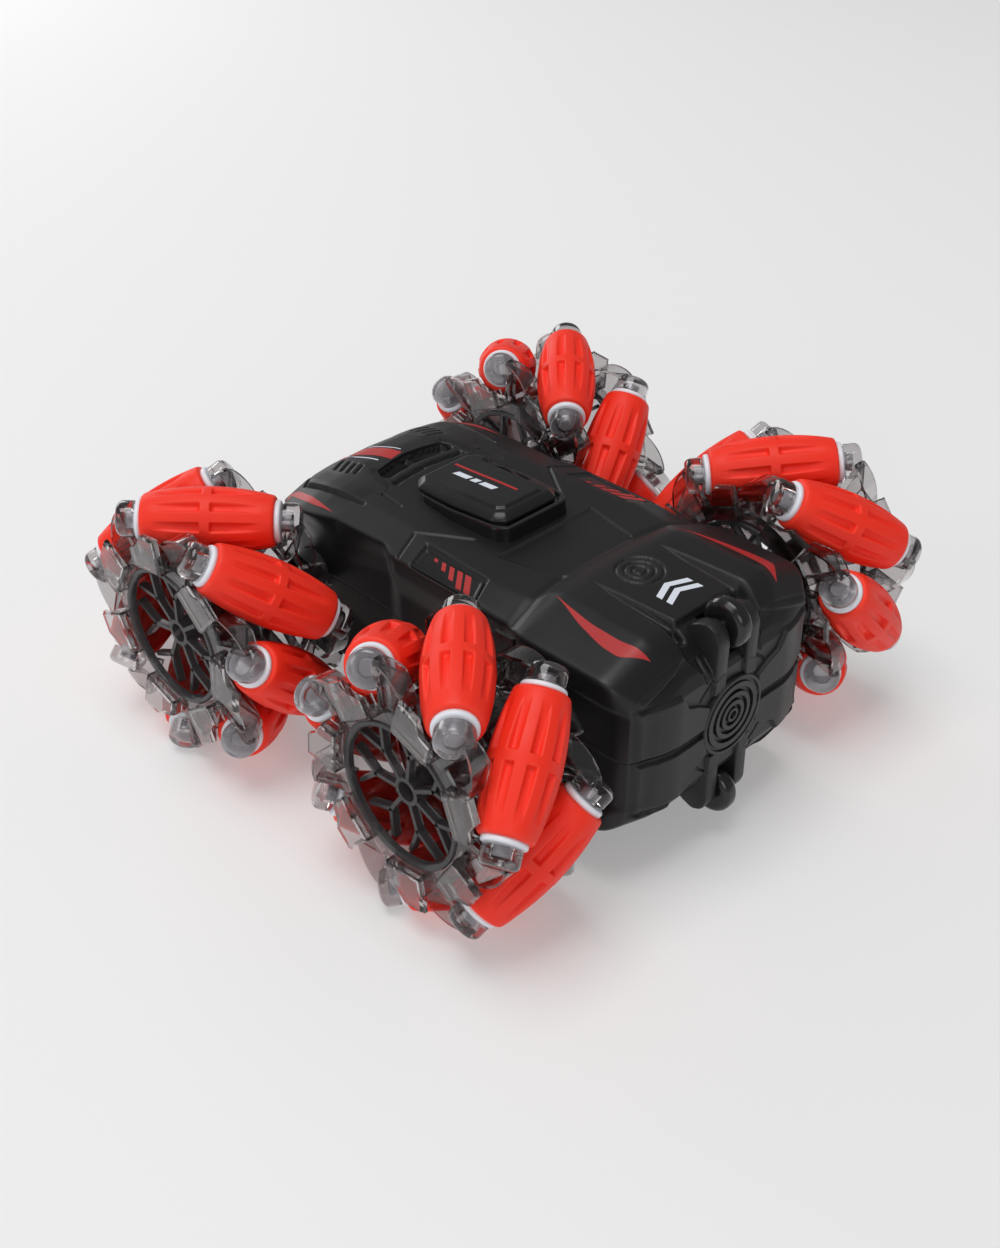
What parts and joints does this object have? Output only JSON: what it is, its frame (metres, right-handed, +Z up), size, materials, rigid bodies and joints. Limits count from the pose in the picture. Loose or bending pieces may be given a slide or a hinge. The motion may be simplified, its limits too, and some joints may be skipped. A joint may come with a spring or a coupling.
{
  "type": "mecanum wheel robot car",
  "caption": "Radio-controlled mecanum drive car: two-part angular shell, clear smoky hubs carrying free barrel rollers at 45 degrees, small rear casters.",
  "frame": {"origin": "on the floor under the middle of the overall box", "axes": "+X forward along the length, +Y to the car's left along the wheel axles, +Z up"},
  "size_m": [0.2156, 0.2138, 0.0988],
  "materials": {
    "roller_rubber": "matte",
    "roller_core": "satin",
    "smoke_clear": "glossy",
    "smoke_dark": "glossy",
    "body_plastic": "satin",
    "trim_plastic": "semi-gloss",
    "decal_red": "printed",
    "decal_white": "printed",
    "caster_rubber": "glossy",
    "shaft_steel": "brushed",
    "screw_steel": "satin",
    "gearbox_plastic": "satin",
    "motor_can": "satin",
    "cell_wrap": "glossy",
    "board_green": "satin",
    "switch_red": "satin"
  },
  "bodies": {
    "chassis": {"top_shell": "body_plastic", "bottom_shell": "body_plastic", "hood_panel": "trim_plastic", "roof_tray": "trim_plastic", "roof_block": "trim_plastic", "side_panels": "body_plastic", "caster_axles": "shaft_steel", "gearboxes": "gearbox_plastic", "motors": "motor_can", "battery": "cell_wrap", "battery_door": "body_plastic", "circuit_board": "board_green", "shell_screws": "screw_steel"},
    "wheel_fl": {"hub_outer_fl": "smoke_clear", "hub_inner_fl": "smoke_clear", "axle_fl": "shaft_steel", "wheel_screw_fl": "screw_steel"},
    "roller_fl_1": {"roller_fl_1": "roller_rubber"},
    "roller_fl_2": {"roller_fl_2": "roller_rubber"},
    "roller_fl_3": {"roller_fl_3": "roller_rubber"},
    "roller_fl_4": {"roller_fl_4": "roller_rubber"},
    "roller_fl_5": {"roller_fl_5": "roller_rubber"},
    "roller_fl_6": {"roller_fl_6": "roller_rubber"},
    "roller_fl_7": {"roller_fl_7": "roller_rubber"},
    "wheel_fr": {"hub_outer_fr": "smoke_clear", "hub_inner_fr": "smoke_clear", "axle_fr": "shaft_steel", "wheel_screw_fr": "screw_steel"},
    "roller_fr_1": {"roller_fr_1": "roller_rubber"},
    "roller_fr_2": {"roller_fr_2": "roller_rubber"},
    "roller_fr_3": {"roller_fr_3": "roller_rubber"},
    "roller_fr_4": {"roller_fr_4": "roller_rubber"},
    "roller_fr_5": {"roller_fr_5": "roller_rubber"},
    "roller_fr_6": {"roller_fr_6": "roller_rubber"},
    "roller_fr_7": {"roller_fr_7": "roller_rubber"},
    "wheel_rl": {"hub_outer_rl": "smoke_clear", "hub_inner_rl": "smoke_clear", "axle_rl": "shaft_steel", "wheel_screw_rl": "screw_steel"},
    "roller_rl_1": {"roller_rl_1": "roller_rubber"},
    "roller_rl_2": {"roller_rl_2": "roller_rubber"},
    "roller_rl_3": {"roller_rl_3": "roller_rubber"},
    "roller_rl_4": {"roller_rl_4": "roller_rubber"},
    "roller_rl_5": {"roller_rl_5": "roller_rubber"},
    "roller_rl_6": {"roller_rl_6": "roller_rubber"},
    "roller_rl_7": {"roller_rl_7": "roller_rubber"},
    "wheel_rr": {"hub_outer_rr": "smoke_clear", "hub_inner_rr": "smoke_clear", "axle_rr": "shaft_steel", "wheel_screw_rr": "screw_steel"},
    "roller_rr_1": {"roller_rr_1": "roller_rubber"},
    "roller_rr_2": {"roller_rr_2": "roller_rubber"},
    "roller_rr_3": {"roller_rr_3": "roller_rubber"},
    "roller_rr_4": {"roller_rr_4": "roller_rubber"},
    "roller_rr_5": {"roller_rr_5": "roller_rubber"},
    "roller_rr_6": {"roller_rr_6": "roller_rubber"},
    "roller_rr_7": {"roller_rr_7": "roller_rubber"},
    "caster_top": {"caster_top": "caster_rubber"},
    "caster_bottom": {"caster_bottom": "caster_rubber"},
    "power_switch": {"power_switch": "switch_red"}
  },
  "joints": [
    {"name": "wheel_spin_fl", "type": "hinge", "parent": "chassis", "child": "wheel_fl", "pos_m": [0.0584, 0.0816, 0.0494], "axis": [0, 1, 0], "continuous": true},
    {"name": "roller_spin_fl_1", "type": "hinge", "parent": "wheel_fl", "child": "roller_fl_1", "pos_m": [0.05754, 0.0816, 0.08739], "axis": [0.7069, 0.7071, 0.016], "continuous": true},
    {"name": "roller_spin_fl_2", "type": "hinge", "parent": "wheel_fl", "child": "roller_fl_2", "pos_m": [0.08756, 0.0816, 0.07376], "axis": [0.4533, 0.7071, -0.5427], "continuous": true},
    {"name": "roller_spin_fl_3", "type": "hinge", "parent": "wheel_fl", "child": "roller_fl_3", "pos_m": [0.09563, 0.0816, 0.04179], "axis": [-0.1417, 0.7071, -0.6928], "continuous": true},
    {"name": "roller_spin_fl_4", "type": "hinge", "parent": "wheel_fl", "child": "roller_fl_4", "pos_m": [0.07566, 0.0816, 0.01555], "axis": [-0.63, 0.7071, -0.3212], "continuous": true},
    {"name": "roller_spin_fl_5", "type": "hinge", "parent": "wheel_fl", "child": "roller_fl_5", "pos_m": [0.04269, 0.0816, 0.0148], "axis": [-0.6439, 0.7071, 0.2923], "continuous": true},
    {"name": "roller_spin_fl_6", "type": "hinge", "parent": "wheel_fl", "child": "roller_fl_6", "pos_m": [0.02155, 0.0816, 0.04011], "axis": [-0.1729, 0.7071, 0.6856], "continuous": true},
    {"name": "roller_spin_fl_7", "type": "hinge", "parent": "wheel_fl", "child": "roller_fl_7", "pos_m": [0.02816, 0.0816, 0.07241], "axis": [0.4282, 0.7071, 0.5627], "continuous": true},
    {"name": "wheel_spin_fr", "type": "hinge", "parent": "chassis", "child": "wheel_fr", "pos_m": [0.0584, -0.0816, 0.0494], "axis": [0, 1, 0], "continuous": true},
    {"name": "roller_spin_fr_1", "type": "hinge", "parent": "wheel_fr", "child": "roller_fr_1", "pos_m": [0.04786, -0.0816, 0.08591], "axis": [0.6794, -0.7071, 0.1961], "continuous": true},
    {"name": "roller_spin_fr_2", "type": "hinge", "parent": "wheel_fr", "child": "roller_fr_2", "pos_m": [0.08037, -0.0816, 0.0804], "axis": [0.5769, -0.7071, -0.4089], "continuous": true},
    {"name": "roller_spin_fr_3", "type": "hinge", "parent": "wheel_fr", "child": "roller_fr_3", "pos_m": [0.09634, -0.0816, 0.05155], "axis": [0.04, -0.7071, -0.706], "continuous": true},
    {"name": "roller_spin_fr_4", "type": "hinge", "parent": "wheel_fr", "child": "roller_fr_4", "pos_m": [0.08374, -0.0816, 0.02108], "axis": [-0.527, -0.7071, -0.4714], "continuous": true},
    {"name": "roller_spin_fr_5", "type": "hinge", "parent": "wheel_fr", "child": "roller_fr_5", "pos_m": [0.05205, -0.0816, 0.01193], "axis": [-0.6972, -0.7071, 0.1181], "continuous": true},
    {"name": "roller_spin_fr_6", "type": "hinge", "parent": "wheel_fr", "child": "roller_fr_6", "pos_m": [0.02515, -0.0816, 0.031], "axis": [-0.3423, -0.7071, 0.6187], "continuous": true},
    {"name": "roller_spin_fr_7", "type": "hinge", "parent": "wheel_fr", "child": "roller_fr_7", "pos_m": [0.02329, -0.0816, 0.06392], "axis": [0.2703, -0.7071, 0.6534], "continuous": true},
    {"name": "wheel_spin_rl", "type": "hinge", "parent": "chassis", "child": "wheel_rl", "pos_m": [-0.0584, 0.0816, 0.0494], "axis": [0, 1, 0], "continuous": true},
    {"name": "roller_spin_rl_1", "type": "hinge", "parent": "wheel_rl", "child": "roller_rl_1", "pos_m": [-0.06349, 0.0816, 0.08706], "axis": [-0.7007, 0.7071, -0.0947], "continuous": true},
    {"name": "roller_spin_rl_2", "type": "hinge", "parent": "wheel_rl", "child": "roller_rl_2", "pos_m": [-0.09102, 0.0816, 0.0689], "axis": [-0.3628, 0.7071, -0.6069], "continuous": true},
    {"name": "roller_spin_rl_3", "type": "hinge", "parent": "wheel_rl", "child": "roller_rl_3", "pos_m": [-0.09398, 0.0816, 0.03606], "axis": [0.2483, 0.7071, -0.6621], "continuous": true},
    {"name": "roller_spin_rl_4", "type": "hinge", "parent": "wheel_rl", "child": "roller_rl_4", "pos_m": [-0.07015, 0.0816, 0.01326], "axis": [0.6724, 0.7071, -0.2187], "continuous": true},
    {"name": "roller_spin_rl_5", "type": "hinge", "parent": "wheel_rl", "child": "roller_rl_5", "pos_m": [-0.03747, 0.0816, 0.01768], "axis": [0.5902, 0.7071, 0.3894], "continuous": true},
    {"name": "roller_spin_rl_6", "type": "hinge", "parent": "wheel_rl", "child": "roller_rl_6", "pos_m": [-0.02055, 0.0816, 0.04598], "axis": [0.0636, 0.7071, 0.7042], "continuous": true},
    {"name": "roller_spin_rl_7", "type": "hinge", "parent": "wheel_rl", "child": "roller_rl_7", "pos_m": [-0.03213, 0.0816, 0.07686], "axis": [-0.511, 0.7071, 0.4888], "continuous": true},
    {"name": "wheel_spin_rr", "type": "hinge", "parent": "chassis", "child": "wheel_rr", "pos_m": [-0.0584, -0.0816, 0.0494], "axis": [0, 1, 0], "continuous": true},
    {"name": "roller_spin_rr_1", "type": "hinge", "parent": "wheel_rr", "child": "roller_rr_1", "pos_m": [-0.05252, -0.0816, 0.08694], "axis": [-0.6986, -0.7071, 0.1094], "continuous": true},
    {"name": "roller_spin_rr_2", "type": "hinge", "parent": "wheel_rr", "child": "roller_rr_2", "pos_m": [-0.08409, -0.0816, 0.0774], "axis": [-0.5211, -0.7071, -0.478], "continuous": true},
    {"name": "roller_spin_rr_3", "type": "hinge", "parent": "wheel_rr", "child": "roller_rr_3", "pos_m": [-0.09631, -0.0816, 0.04678], "axis": [0.0488, -0.7071, -0.7054], "continuous": true},
    {"name": "roller_spin_rr_4", "type": "hinge", "parent": "wheel_rr", "child": "roller_rr_4", "pos_m": [-0.07999, -0.0816, 0.01813], "axis": [0.5819, -0.7071, -0.4017], "continuous": true},
    {"name": "roller_spin_rr_5", "type": "hinge", "parent": "wheel_rr", "child": "roller_rr_5", "pos_m": [-0.04741, -0.0816, 0.01302], "axis": [0.6769, -0.7071, 0.2045], "continuous": true},
    {"name": "roller_spin_rr_6", "type": "hinge", "parent": "wheel_rr", "child": "roller_rr_6", "pos_m": [-0.02311, -0.0816, 0.03531], "axis": [0.2621, -0.7071, 0.6567], "continuous": true},
    {"name": "roller_spin_rr_7", "type": "hinge", "parent": "wheel_rr", "child": "roller_rr_7", "pos_m": [-0.02538, -0.0816, 0.06821], "axis": [-0.35, -0.7071, 0.6144], "continuous": true},
    {"name": "caster_top_spin", "type": "hinge", "parent": "chassis", "child": "caster_top", "pos_m": [-0.0985, 0, 0.0833], "axis": [0, 1, 0], "continuous": true},
    {"name": "caster_bottom_spin", "type": "hinge", "parent": "chassis", "child": "caster_bottom", "pos_m": [-0.099, 0, 0.017], "axis": [0, 1, 0], "continuous": true},
    {"name": "power_switch_slide", "type": "slide", "parent": "chassis", "child": "power_switch", "axis": [1, 0, 0], "range_m": [0, 0.003]}
  ]
}
